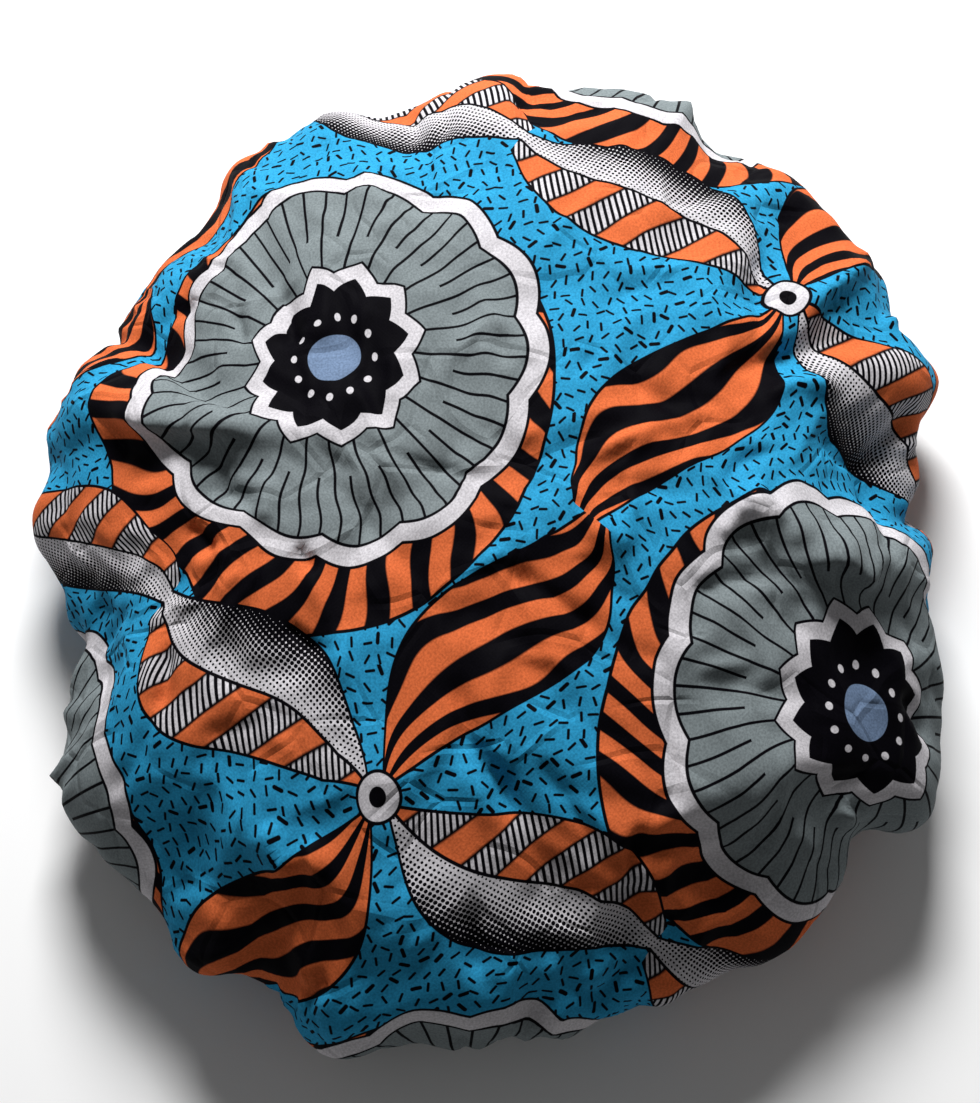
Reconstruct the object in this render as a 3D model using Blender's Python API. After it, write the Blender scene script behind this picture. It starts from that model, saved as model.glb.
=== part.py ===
"""Hair bonnet: one round of cloth gathered into a narrow elastic hem.

It lies crown up on a flat surface with its opening underneath, puffed up as it was put down.
Metres, +Z up. The origin is on that surface, under the middle of the whole bonnet.
The near side is -Y, the longer way across is Y.
"""

import math
from collections import namedtuple

import bmesh
import bpy
from mathutils import Vector

MM = 0.001

# Driving sizes
CLOTH_WALL = 2.0 * MM
CROWN_HEIGHT = 102.0 * MM
RIM_RADIUS = 189.0 * MM
HEM_RADIUS = 100.0 * MM
CASING_WIDTH = 10.0 * MM
CASING_HEIGHT = 8.0 * MM
CASING_ROUNDING = 2.5 * MM
EDGE_HEIGHT = 4.0 * MM  # of the crown's edge where it meets the casing
EDGE_GAP = 0.3 * MM
RIM_GAP = 0.6 * MM  # along the cloth, between the crown's node and the border's

# Gathers: how many go round, and how deep they are at the rim, under it and at the hem
GATHERS = 20
RIM_GATHER = 1.8 * MM
UNDER_GATHER = 5.0 * MM
HEM_GATHER = 1.5 * MM
GATHER_DRIFT = 0.5  # radians that the gathers wander from an even spacing
RUCHE_DEPTH = 0.8 * MM

# Mesh fineness
WELD = 0.001 * MM
SHARE_STEP = 0.006  # steps over which the cloth's slope is measured
ANGLE_STEP = math.radians(1.2)
FACES_AROUND = 100
FACES_DOWN = 25
RIM_RING = 16  # the widest ring, where the crown ends and the gathered border begins
FINEST_AT = 0.64  # share of the way down the cloth at which its rings lie closest: the rim
CLOSENESS = 0.40

CLOTH_BLUE = (0.075, 0.335, 0.52, 1.0)
CASING_BLACK = (0.018, 0.017, 0.02, 1.0)

# The cloth's section from its middle outwards, as shares of the rim's radius and the crown's height
Station = namedtuple("Station", "place radius_share height_share")
SECTION = (
    Station("middle of the crown", 0.00, 1.000),
    Station("crown", 0.20, 0.995),
    Station("crown", 0.42, 0.955),
    Station("shoulder", 0.62, 0.865),
    Station("shoulder", 0.79, 0.720),
    Station("side", 0.93, 0.540),
    Station("rim", 1.00, 0.345),
    Station("below the rim", 0.965, 0.165),
    Station("underside", 0.87, 0.070),
    Station("underside", 0.72, 0.050),
)
SECTION_SAMPLES = 400

# The rim seen from above: each bulge and notch, going anticlockwise from +X
RimPoint = namedtuple("RimPoint", "angle_deg radius_mm")
RIM = (
    RimPoint(0, 171.0),
    RimPoint(12, 175.0),
    RimPoint(23, 194.5),
    RimPoint(30, 190.0),
    RimPoint(38, 194.5),
    RimPoint(50, 201.0),
    RimPoint(58, 191.0),
    RimPoint(67, 203.0),
    RimPoint(78, 196.0),
    RimPoint(88, 200.0),
    RimPoint(103, 188.0),
    RimPoint(114, 195.0),
    RimPoint(122, 190.5),
    RimPoint(133, 180.0),
    RimPoint(145, 174.0),
    RimPoint(158, 178.0),
    RimPoint(175, 182.0),
    RimPoint(187, 171.5),
    RimPoint(197, 167.0),
    RimPoint(210, 193.0),
    RimPoint(219, 196.0),
    RimPoint(228, 194.0),
    RimPoint(238, 201.0),
    RimPoint(245, 195.0),
    RimPoint(253, 209.0),
    RimPoint(267, 196.0),
    RimPoint(276, 196.5),
    RimPoint(287, 188.0),
    RimPoint(300, 195.0),
    RimPoint(309, 195.5),
    RimPoint(320, 188.0),
    RimPoint(328, 200.5),
    RimPoint(340, 187.0),
    RimPoint(350, 175.0),
)

# Folds of the crown, seen from above. A rise above nought is a ridge, below it a valley.
# The steep side is on the right on the way from start to end.
Fold = namedtuple("Fold", "place start_mm end_mm rise_mm soft_mm steep_mm")
FOLDS = (
    Fold("far left pleat, its crest", (-158, 45), (-75, 25), 9.0, 22, 9),
    Fold("far left pleat, its foot", (-130, 70), (-81, 31), -5.0, 16, 12),
    Fold("far left crease", (-84, 90), (-77, 36), -3.0, 10, 10),
    Fold("left drape", (-100, 18), (-92, -24), 3.5, 11, 9),
    Fold("left rim drape", (-124, 24), (-127, -20), -3.0, 12, 10),
    Fold("left rim tuck", (-162, -18), (-150, -63), -5.0, 13, 11),
    Fold("near left puff", (-130, -66), (-112, -102), 5.0, 16, 12),
    Fold("near left sheen ridge", (-89, -118), (-56, -139), 4.0, 11, 9),
    Fold("near left hollow", (-112, -131), (-84, -162), -5.0, 14, 12),
    Fold("crown, left of the middle", (-47, 46), (-24, -21), -3.0, 12, 12),
    Fold("crown, near left", (-24, -21), (-15, -62), -2.5, 11, 11),
    Fold("crown, right of the middle", (37, 37), (76, 22), -3.0, 11, 11),
    Fold("crown, near right", (38, 20), (52, -16), 2.5, 11, 9),
    Fold("far right crease", (117, 134), (104, 69), -4.0, 11, 10),
    Fold("far right ridge", (110, 68), (151, 108), 3.5, 14, 11),
    Fold("far right valley", (94, 45), (142, 72), -4.0, 11, 11),
    Fold("right bulge", (160, 58), (180, 36), 6.0, 16, 13),
    Fold("right pocket", (141, 32), (167, 12), -10.0, 14, 14),
    Fold("right pleat, its crest", (104, -8), (130, -21), 6.0, 18, 9),
    Fold("right pleat, its rim end", (130, -21), (168, -25), 9.0, 18, 9),
    Fold("near right pleat", (53, -124), (108, -98), 8.0, 22, 9),
    Fold("near right ridge", (112, -108), (142, -128), 4.0, 13, 10),
    Fold("near right hollow", (86, -133), (120, -146), -5.0, 15, 13),
    Fold("near rim crease", (46, -157), (72, -176), -6.0, 12, 11),
    Fold("near crease", (-4, -74), (14, -131), -3.5, 12, 11),
    Fold("near rim puff", (-36, -155), (-12, -180), 5.0, 14, 11),
)


def smooth_step(low, high, value):
    """0 below low, 1 above high, and an even ease between them."""
    share = min(max((value - low) / (high - low), 0.0), 1.0)
    return share * share * (3.0 - 2.0 * share)


def through(points, share):
    """A point on the smooth curve through flat points (Catmull-Rom), share going from 0 to 1."""
    spans = len(points) - 1
    span = min(int(share * spans), spans - 1)
    t = share * spans - span
    before = points[max(span - 1, 0)]
    start = points[span]
    end = points[span + 1]
    after = points[min(span + 2, spans)]
    found = []
    for i in range(2):
        bend = 2.0 * before[i] - 5.0 * start[i] + 4.0 * end[i] - after[i]
        twist = 3.0 * start[i] - before[i] - 3.0 * end[i] + after[i]
        found.append(start[i] + 0.5 * t * (end[i] - before[i] + t * (bend + t * twist)))
    return found


def section_curve():
    """Points (radius, height) along the cloth from its middle to the hem, and the length up to each."""
    points = [(part.radius_share * RIM_RADIUS, part.height_share * CROWN_HEIGHT) for part in SECTION]
    points.append((HEM_RADIUS + CASING_WIDTH / 2 + EDGE_GAP, EDGE_HEIGHT))
    fine = [through(points, i / SECTION_SAMPLES) for i in range(SECTION_SAMPLES + 1)]
    lengths = [0.0]
    for (r0, z0), (r1, z1) in zip(fine, fine[1:]):
        lengths.append(lengths[-1] + math.hypot(r1 - r0, z1 - z0))
    return fine, lengths


SECTION_POINTS, SECTION_LENGTHS = section_curve()


def section_at(share):
    """Radius, height and outward normal (in the section's plane) at a share of the cloth's length."""
    wanted = share * SECTION_LENGTHS[-1]
    low = 0
    while low < len(SECTION_LENGTHS) - 2 and SECTION_LENGTHS[low + 1] < wanted:
        low += 1
    (r0, z0), (r1, z1) = SECTION_POINTS[low], SECTION_POINTS[low + 1]
    length = SECTION_LENGTHS[low + 1] - SECTION_LENGTHS[low]
    t = (wanted - SECTION_LENGTHS[low]) / length
    normal = ((z0 - z1) / length, (r1 - r0) / length)
    return r0 + t * (r1 - r0), z0 + t * (z1 - z0), normal


def rim_stretch(angle):
    """The rim's radius at an angle, as a share of the even rim's."""
    degrees = math.degrees(angle) % 360.0
    for here, after in zip(RIM, RIM[1:] + (RimPoint(RIM[0].angle_deg + 360, RIM[0].radius_mm),)):
        if here.angle_deg <= degrees < after.angle_deg:
            share = smooth_step(here.angle_deg, after.angle_deg, degrees)
            radius = here.radius_mm + share * (after.radius_mm - here.radius_mm)
            return radius * MM / RIM_RADIUS
    return RIM[0].radius_mm * MM / RIM_RADIUS


def fold_rise(x, y):
    """How far the folds lift the crown's surface at a place seen from above."""
    rise = 0.0
    for fold in FOLDS:
        start = Vector(fold.start_mm) * MM
        run = Vector(fold.end_mm) * MM - start
        place = Vector((x, y)) - start
        along = place.dot(run) / run.length
        across = (run.x * place.y - run.y * place.x) / run.length
        past_end = max(-along, along - run.length, 0.0)
        width = (fold.steep_mm if across < 0.0 else fold.soft_mm) * MM
        fade = math.exp(-((past_end / (fold.soft_mm * MM)) ** 2))
        rise += fold.rise_mm * MM * math.exp(-((across / width) ** 2)) * fade
    return rise


def gather_depth(share):
    """Half the height of the gathers at a share of the way from the crown's middle to the hem."""
    growing = RIM_GATHER * smooth_step(0.40, 0.62, share)
    under = (UNDER_GATHER - RIM_GATHER) * smooth_step(0.62, 0.80, share)
    ending = (UNDER_GATHER - HEM_GATHER) * smooth_step(0.86, 1.0, share)
    return growing + under - ending


def gather_wave(angle):
    drift = GATHER_DRIFT * (math.sin(3.0 * angle + 0.6) + math.sin(5.0 * angle + 2.1))
    return math.cos(GATHERS * angle + drift)


def cloth_place(share, angle):
    """Where a point of the cloth lies: share of the way from its middle to the hem, and angle."""
    radius, height, normal = section_at(share)
    stretched = smooth_step(0.20, 0.60, share) * (1.0 - smooth_step(0.72, 1.0, share))
    radius *= 1.0 + stretched * (rim_stretch(angle) - 1.0)
    on_top = 1.0 - smooth_step(0.56, 0.68, share)
    lift = gather_depth(share) * gather_wave(angle)
    if on_top > 0.0:
        lift += on_top * fold_rise(radius * math.cos(angle), radius * math.sin(angle))
    radius += lift * normal[0]
    height = max(height + lift * normal[1], 0.0)
    return Vector((radius * math.cos(angle), radius * math.sin(angle), height))


def cloth_normal(share, angle):
    """The cloth's outward way at a point."""
    if share < SHARE_STEP:
        return Vector((0.0, 0.0, 1.0))
    down = cloth_place(share + SHARE_STEP, angle) - cloth_place(share - SHARE_STEP, angle)
    around = cloth_place(share, angle + ANGLE_STEP) - cloth_place(share, angle - ANGLE_STEP)
    return down.cross(around).normalized()


def ring_share(ring):
    """The cloth's rings lie closer together at the rim than at the crown's middle and the hem."""
    even = ring / FACES_DOWN
    turn = 2.0 * math.pi
    drawn = math.sin(turn * (even - FINEST_AT)) + math.sin(turn * FINEST_AT)
    return even - CLOSENESS / turn * drawn


def spun(profile, closed):
    """A bmesh turned once round Z from a profile of (x, z) points."""
    bm = bmesh.new()
    verts = [bm.verts.new((x, 0.0, z)) for x, z in profile]
    edges = [bm.edges.new(pair) for pair in zip(verts, verts[1:])]
    if closed:
        edges.append(bm.edges.new((verts[-1], verts[0])))
    bmesh.ops.spin(
        bm,
        geom=verts + edges,
        cent=(0.0, 0.0, 0.0),
        axis=(0.0, 0.0, 1.0),
        dvec=(0.0, 0.0, 0.0),
        angle=2.0 * math.pi,
        steps=FACES_AROUND,
        use_merge=True,
    )
    bmesh.ops.remove_doubles(bm, verts=bm.verts, dist=WELD)
    bmesh.ops.recalc_face_normals(bm, faces=bm.faces)
    return bm


def plain_material(name, colour, roughness):
    material = bpy.data.materials.new(name)
    material.use_nodes = True
    shader = material.node_tree.nodes["Principled BSDF"]
    shader.inputs["Base Color"].default_value = colour
    shader.inputs["Roughness"].default_value = roughness
    shader.inputs["Metallic"].default_value = 0.0
    material.diffuse_color = colour
    return material


def add_object(name, bm, material, collection):
    mesh = bpy.data.meshes.new(name)
    bm.to_mesh(mesh)
    bm.free()
    mesh.shade_smooth()
    mesh.materials.append(material)
    thing = bpy.data.objects.new(name, mesh)
    collection.objects.link(thing)
    return thing


def cloth_part(name, shares, collection, middle):
    """The cloth between two rings: a flat part of the round with a wall below it, every point of which
    moves to its sewn and folded place."""
    outer = [(share, 0.0) for share in shares]
    inner = [(share, -1.0) for share in reversed(shares)]
    bm = spun(outer + inner, closed=shares[0] > 0.0)
    for vert in bm.verts:
        share = math.hypot(vert.co.x, vert.co.y)
        angle = math.atan2(vert.co.y, vert.co.x)
        wall = vert.co.z * CLOTH_WALL * cloth_normal(share, angle)
        vert.co = cloth_place(share, angle) + wall - middle
    return add_object(name, bm, plain_material(name + " print", CLOTH_BLUE, 0.6), collection)


def cloth(collection, middle):
    """The cloth in two nodes: the crown down to the rim, and the border gathered in under it."""
    shares = [ring_share(ring) for ring in range(FACES_DOWN + 1)]
    apart = RIM_GAP / 2 / SECTION_LENGTHS[-1]
    above = shares[:RIM_RING] + [shares[RIM_RING] - apart]
    under = [shares[RIM_RING] + apart] + shares[RIM_RING + 1 :]
    cloth_part("crown", above, collection, middle)
    cloth_part("gathered_border", under, collection, middle)


def elastic_hem(collection, middle):
    """The casing that holds the elastic: a ruched band round the opening, flat underneath."""
    inner = HEM_RADIUS - CASING_WIDTH / 2
    outer = HEM_RADIUS + CASING_WIDTH / 2
    side = CASING_HEIGHT - CASING_ROUNDING
    profile = (
        (inner, 0.0),
        (outer, 0.0),
        (outer, side),
        (outer - CASING_ROUNDING, CASING_HEIGHT),
        (inner + CASING_ROUNDING, CASING_HEIGHT),
        (inner, side),
    )
    bm = spun(profile, closed=True)
    for vert in bm.verts:
        if vert.co.z > (side + CASING_HEIGHT) / 2:
            vert.co.z += RUCHE_DEPTH * gather_wave(math.atan2(vert.co.y, vert.co.x))
        vert.co -= middle
    return add_object("elastic_hem", bm, plain_material("elastic casing", CASING_BLACK, 0.8), collection)


def middle_of_rim():
    """The middle of the bonnet seen from above, which becomes the origin."""
    rings = [ring_share(ring) for ring in range(FACES_DOWN + 1)]
    angles = [2.0 * math.pi * step / FACES_AROUND for step in range(FACES_AROUND)]
    places = [cloth_place(share, angle) for share in rings for angle in angles]
    xs = [place.x for place in places]
    ys = [place.y for place in places]
    return Vector(((min(xs) + max(xs)) / 2, (min(ys) + max(ys)) / 2, 0.0))


def main():
    for thing in list(bpy.data.objects):
        bpy.data.objects.remove(thing, do_unlink=True)
    collection = bpy.data.collections.new("Hair bonnet")
    bpy.context.scene.collection.children.link(collection)
    middle = middle_of_rim()
    cloth(collection, middle)
    elastic_hem(collection, middle)


main()
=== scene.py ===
"""Dresses the hair bonnet: its gathered crown as draped printed cloth, its ruched elastic casing, and
its stage.

Metres, +Z up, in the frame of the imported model. The near side is -Y.
"""

import math
from collections import namedtuple

import bpy
import numpy as np
from mathutils import Matrix, Vector, noise
from mathutils.bvhtree import BVHTree


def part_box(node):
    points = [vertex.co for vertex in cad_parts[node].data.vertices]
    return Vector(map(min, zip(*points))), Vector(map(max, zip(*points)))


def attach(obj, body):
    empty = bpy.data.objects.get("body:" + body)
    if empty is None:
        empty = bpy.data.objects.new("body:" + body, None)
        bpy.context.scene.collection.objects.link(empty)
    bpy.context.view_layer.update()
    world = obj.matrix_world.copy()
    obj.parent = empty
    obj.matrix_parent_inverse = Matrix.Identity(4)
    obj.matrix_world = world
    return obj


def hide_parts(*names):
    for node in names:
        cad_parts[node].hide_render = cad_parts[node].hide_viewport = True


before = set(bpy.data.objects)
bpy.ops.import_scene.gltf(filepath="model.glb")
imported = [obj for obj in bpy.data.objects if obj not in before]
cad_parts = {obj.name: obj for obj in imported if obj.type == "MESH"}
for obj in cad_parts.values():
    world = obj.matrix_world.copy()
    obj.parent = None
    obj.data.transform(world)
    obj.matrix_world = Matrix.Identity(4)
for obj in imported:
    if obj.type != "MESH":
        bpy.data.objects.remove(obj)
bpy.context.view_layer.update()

bl_info = {
    "name": "Hair bonnet",
    "version": (1, 0, 0),
    "blender": (4, 5, 0),
    "location": "3D View > Sidebar > Bonnet",
    "description": "Makes a gathered cloth hair bonnet with a printed crown and an elastic casing",
    "category": "Object",
}

MM = 0.001
TURN = 2.0 * math.pi
BODY = "root"
CLOTH_NODES = ("crown", "gathered_border")
PICTURE_HEIGHT = 1103.0

MATH = "ShaderNodeMath"
VECTOR = "ShaderNodeVectorMath"
MIX = "ShaderNodeMix"
RANGE = "ShaderNodeMapRange"
NOISE = "ShaderNodeTexNoise"
VORONOI = "ShaderNodeTexVoronoi"
SEPARATE = "ShaderNodeSeparateXYZ"
COMBINE = "ShaderNodeCombineXYZ"
ROTATE = "ShaderNodeVectorRotate"
BUMP = "ShaderNodeBump"

# Sizes read from the frame
CROWN_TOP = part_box("crown")[1].z
HEM_LOW, HEM_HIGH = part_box("elastic_hem")
HEM_MIDDLE = Vector(((HEM_LOW.x + HEM_HIGH.x) / 2, (HEM_LOW.y + HEM_HIGH.y) / 2, 0.0))
HEM_OUTER = (HEM_HIGH.x - HEM_LOW.x) / 2


def linear_colour(hex_text):
    """An sRGB colour such as 4fa8d2 as linear red, green, blue and a full alpha."""
    found = []
    for level in bytes.fromhex(hex_text):
        value = level / 255.0
        found.append(value / 12.92 if value <= 0.04045 else ((value + 0.055) / 1.055) ** 2.4)
    return (*found, 1.0)


def colour_property(name, description, hex_text):
    dye = linear_colour(hex_text)
    return bpy.props.FloatVectorProperty(
        name=name, description=description, default=dye, min=0.0, max=1.0, size=4, subtype="COLOR"
    )


def length_property(name, description, metres):
    return bpy.props.FloatProperty(
        name=name, description=description, default=metres, min=0.0, subtype="DISTANCE", unit="LENGTH"
    )


def count_property(name, description, number, least):
    return bpy.props.IntProperty(name=name, description=description, default=number, min=least)


class BonnetColours(bpy.types.PropertyGroup):
    """The dyes of the print and the casing."""

    blue: colour_property("Blue", "Ground of the print", "2887b1")
    orange: colour_property("Orange", "Leaves and crescents", "c36036")
    grey: colour_property("Grey", "Rings of the round motifs", "6f7779")
    white: colour_property("Off-white", "Borders, dots and hatching", "b9b6ba")
    black: colour_property("Black", "Outlines and stripes", "07060a")
    slate: colour_property("Slate", "Middle of the round motifs", "61738d")
    casing: colour_property("Casing", "Cloth of the elastic casing", "1f1e22")


class BonnetSizes(bpy.types.PropertyGroup):
    """The sizes of the cloth, its print and its casing."""

    cloth: length_property("Cloth", "Thickness of the crown's cloth as it is drawn", 0.7 * MM)
    column: length_property("Column", "Distance between two columns of round motifs", 180.0 * MM)
    drop: length_property("Drop", "Distance between two round motifs of one column", 326.0 * MM)
    weave: length_property("Weave", "Distance between two threads as they are drawn", 0.75 * MM)
    stitch: length_property("Stitch", "Length of one stitch of the casing", 3.0 * MM)
    thread: length_property("Thread", "Thickness of the sewing thread", 0.4 * MM)
    ruche: length_property("Ruche", "Depth of the casing's ruches", 0.9 * MM)
    rings: count_property("Rings", "Rings of the cloth's mesh from its middle to the hem", 128, 20)
    gathers: count_property("Gathers", "Small gathers round the hem", 64, 8)
    ruches: count_property("Ruches", "Ruches round the casing", 92, 8)
    steps: count_property("Steps", "Steps of the cloth's settling", 24, 1)


def add(tree, kind, links=(), **settings):
    """Adds a node with its settings, sets or links its inputs by name or number, and returns its first
    output in use."""
    node = tree.nodes.new(kind)
    for name, value in settings.items():
        setattr(node, name, value)
    for key, value in dict(links).items():
        if isinstance(key, int):
            socket = node.inputs[key]
        else:
            socket = next(found for found in node.inputs if found.enabled and found.name == key)
        if isinstance(value, bpy.types.NodeSocket):
            tree.links.new(value, socket)
        else:
            socket.default_value = value
    return next((found for found in node.outputs if found.enabled), None)


def new_material(name, colour):
    """A material with no nodes yet, and its tree."""
    material = bpy.data.materials.new(name)
    material.use_nodes = True
    material.node_tree.nodes.clear()
    material.diffuse_color = colour
    return material, material.node_tree


def surfaced(material, links):
    """The material, now shown by a principled shader with these inputs."""
    tree = material.node_tree
    shader = add(tree, "ShaderNodeBsdfPrincipled", links)
    add(tree, "ShaderNodeOutputMaterial", {"Surface": shader})
    return material


def new_object(name, data):
    """An object with this data, linked into the scene."""
    thing = bpy.data.objects.new(name, data)
    bpy.context.scene.collection.objects.link(thing)
    return thing


def mesh_object(name, places, faces):
    mesh = bpy.data.meshes.new(name)
    mesh.from_pydata([tuple(place) for place in places], [], faces)
    mesh.update()
    return new_object(name, mesh)


# The crown's shape

# The crown's section is looked at from a ring inside it, with a radius of this share of the hem's, at
# this share of the crown's height
EYE_REACH = 0.95
EYE_LEVEL = 0.42
# The lowest that the cloth lies over the floor
CLEARANCE = 0.4 * MM


def smooth_step(low, high, value):
    """0 below low, 1 above high, and an even ease between them, for arrays."""
    share = np.clip((value - low) / (high - low), 0.0, 1.0)
    return share * share * (3.0 - 2.0 * share)


def section_line(tree, outward, slopes):
    """The crown's outer side on one line from its middle to its hem, looked at from inside it."""
    inside = HEM_MIDDLE + outward * EYE_REACH * HEM_OUTER
    inside.z = EYE_LEVEL * CROWN_TOP
    reach = 3.0 * CROWN_TOP
    found = []
    for slope in slopes:
        way = outward * math.cos(slope) + Vector((0.0, 0.0, math.sin(slope)))
        hit = tree.ray_cast(inside + way * reach, -way, reach)[0]
        if hit is not None:
            found.append(hit)
    return np.array(found)


def crown_grid(angles, shares, sights):
    """The crown's outer side as the frame holds it, by angle and by share of the way from its middle
    to its hem, and the mean length of that way."""
    places, faces = [], []
    for name in CLOTH_NODES:
        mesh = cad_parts[name].data
        faces += [[len(places) + corner for corner in face.vertices] for face in mesh.polygons]
        places += [vert.co for vert in mesh.vertices]
    tree = BVHTree.FromPolygons(places, faces)
    top = tree.ray_cast(Vector((0.0, 0.0, 1.0)), Vector((0.0, 0.0, -1.0)))[0].z
    hem_level, past_eye = 4.0 * MM, 0.05 * HEM_OUTER + 1.0 * MM
    first = math.atan2(top - EYE_LEVEL * CROWN_TOP, -EYE_REACH * HEM_OUTER)
    last = math.atan2(hem_level - EYE_LEVEL * CROWN_TOP, past_eye)
    slopes = np.linspace(first, last, sights)
    grid = np.zeros((angles, shares, 3))
    lengths = []
    for step in range(angles):
        turn = TURN * step / angles
        line = section_line(tree, Vector((math.cos(turn), math.sin(turn), 0.0)), slopes)
        run = np.concatenate([[0.0], np.cumsum(np.linalg.norm(np.diff(line, axis=0), axis=1))])
        wanted = np.linspace(0.0, run[-1], shares)
        for axis in range(3):
            grid[step, :, axis] = np.interp(wanted, run, line[:, axis])
        lengths.append(run[-1])
    return grid, float(np.mean(lengths))


def eased(grid, rounds):
    """The grid with its facets rubbed out, its first and last rows kept."""
    for _ in range(rounds):
        grid = grid / 2 + (np.roll(grid, 1, 0) + np.roll(grid, -1, 0)) / 4
        inner = grid[:, 1:-1] / 2 + (grid[:, :-2] + grid[:, 2:]) / 4
        grid = np.concatenate([grid[:, :1], inner, grid[:, -1:]], axis=1)
    return grid


def grid_normals(grid):
    """Which way the crown faces at each point of the grid."""
    around = np.roll(grid, -1, 0) - np.roll(grid, 1, 0)
    down = np.gradient(grid, axis=1)
    normals = np.cross(down, around)
    normals /= np.maximum(np.linalg.norm(normals, axis=2, keepdims=True), 1e-12)
    normals[:, 0] = (0.0, 0.0, 1.0)
    return normals


def read_grid(grid, share, angle):
    """Values of the grid at many shares and angles, read between its points."""
    angles, shares = grid.shape[:2]
    turn = np.mod(angle, TURN) / TURN * angles
    out = np.clip(share, 0.0, 1.0) * (shares - 1)
    row = np.floor(turn).astype(int) % angles
    column = np.minimum(np.floor(out).astype(int), shares - 2)
    beside = (row + 1) % angles
    across = (turn - np.floor(turn))[:, None]
    down = (out - column)[:, None]
    near = grid[row, column] * (1 - across) + grid[beside, column] * across
    far = grid[row, column + 1] * (1 - across) + grid[beside, column + 1] * across
    return near * (1 - down) + far * down


def cut_round(radius, rings):
    """A flat round of cloth in triangles, a little finer in its middle, which makes the crown's upper
    side: its places in the plane, and its faces."""
    sectors = 6
    places = [(0.0, 0.0)]
    first = [0]
    for ring in range(1, rings + 1):
        first.append(len(places))
        out = ring / rings
        reach = radius * out * (0.82 + 0.18 * out**3)
        for step in range(sectors * ring):
            turn = TURN * step / (sectors * ring)
            places.append((reach * math.cos(turn), reach * math.sin(turn)))
    faces = []
    for ring in range(1, rings + 1):
        outer, inner = sectors * ring, max(sectors * (ring - 1), 1)
        for sector in range(sectors):
            for step in range(ring):
                here, inward = sector * ring + step, sector * (ring - 1) + step
                corner = first[ring] + here
                onward = first[ring] + (here + 1) % outer
                under = first[ring - 1] + inward % inner
                faces.append((corner, onward, under))
                if step < ring - 1:
                    beside = first[ring - 1] + (inward + 1) % inner
                    faces.append((onward, beside, under))
    return np.array(places), faces


def edges_of(faces):
    """Each edge of the triangles once."""
    corners = np.array(faces)
    pairs = np.concatenate([corners[:, [0, 1]], corners[:, [1, 2]], corners[:, [2, 0]]])
    return np.unique(np.sort(pairs, axis=1), axis=0)


def gathered_sum(values, edges, count):
    """For each point, the values of its edges: added where an edge ends, taken off where it starts."""
    starts, ends = edges.T
    columns = []
    for column in values.T:
        columns.append(np.bincount(ends, column, count) - np.bincount(starts, column, count))
    return np.column_stack(columns)


def unstretched(flat, shaped, edges, share, rounds):
    """The flat cut moved so that no edge is shorter than on the shaped cloth, because cotton gathers
    but doesn't stretch. The print is drawn in these places, which are evened out a little in each round
    so that none folds over its neighbours."""
    starts, ends = edges.T
    first = np.linalg.norm(flat[ends] - flat[starts], axis=1)
    last = np.linalg.norm(shaped[ends] - shaped[starts], axis=1)
    slack = 0.4 * (1.0 - smooth_step(0.30, 0.62, share[starts]))
    neighbours = np.bincount(edges.ravel(), minlength=len(flat))[:, None]
    places, speed = flat.copy(), np.zeros_like(flat)
    most, kept, pull, evening = 0.2, 0.9, 0.25, 0.2
    for number in range(rounds):
        wanted = first + (last - first) * min(1.0, number / (0.6 * rounds))
        way = places[ends] - places[starts]
        short = np.clip(wanted / np.linalg.norm(way, axis=1) - 1.0, -most, most)
        push = way * (np.where(short > 0.0, 1.0, slack) * short)[:, None]
        moved = places - flat
        uneven = gathered_sum(moved[ends] - moved[starts], edges, len(flat)) / neighbours
        speed = kept * speed + pull * gathered_sum(push, edges, len(flat)) / neighbours
        places += speed - evening * uneven
    return places


def levelled(values, edges, rounds):
    """Values evened out with those of their neighbours."""
    neighbours = np.bincount(edges.ravel(), minlength=len(values))[:, None]
    for _ in range(rounds):
        drops = values[edges[:, 1]] - values[edges[:, 0]]
        values = values - 0.5 * gathered_sum(drops, edges, len(values)) / neighbours
    return values


def wavy(angle, start, waves):
    """The start value and a sum of waves round the crown, each with its height, count and shift."""
    total = start
    for height, count, shift in waves:
        total = total + height * np.sin(count * angle + shift)
    return total


def small_gathers(share, angle, count):
    """How far the small gathers stand off the crown's main shape. Under the rim they go inwards."""
    single_depth, double_depth = 4.5 * MM, 2.6 * MM
    drift = wavy(angle, 0.0, ((0.9, 4.0, 1.0), (0.7, 7.0, 0.4), (0.5, 11.0, 0.0)))
    uneven = wavy(angle, 1.0, ((0.25, 9.0, 2.0), (0.2, 17.0, 0.7)))
    single = np.cos(count * angle + drift) - 1.0
    double = np.cos(0.5 * count * angle + 0.5 * drift + 0.8) - 0.6
    deep = smooth_step(0.72, 0.90, share) * (1.0 - 0.55 * smooth_step(0.92, 1.0, share))
    wide = smooth_step(0.56, 0.80, share) * (1.0 - smooth_step(0.86, 0.98, share))
    return single_depth * deep * uneven * single + double_depth * wide * uneven * double


def noise_at(flat, size, level):
    """Smooth noise of this size in metres at each place of the cut, about -0.5 to 0.5."""
    return np.array([noise.noise(Vector((x / size, y / size, level))) for x, y in flat])


def crumple(flat):
    """Small unevenness, broad and fine, from which the cloth finds its own wrinkles."""
    return noise_at(flat, 0.028, 3.7) * 1.1 * MM + noise_at(flat, 0.011, 9.1) * 0.35 * MM


Crease = namedtuple("Crease", "name points lift left right")

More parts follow.
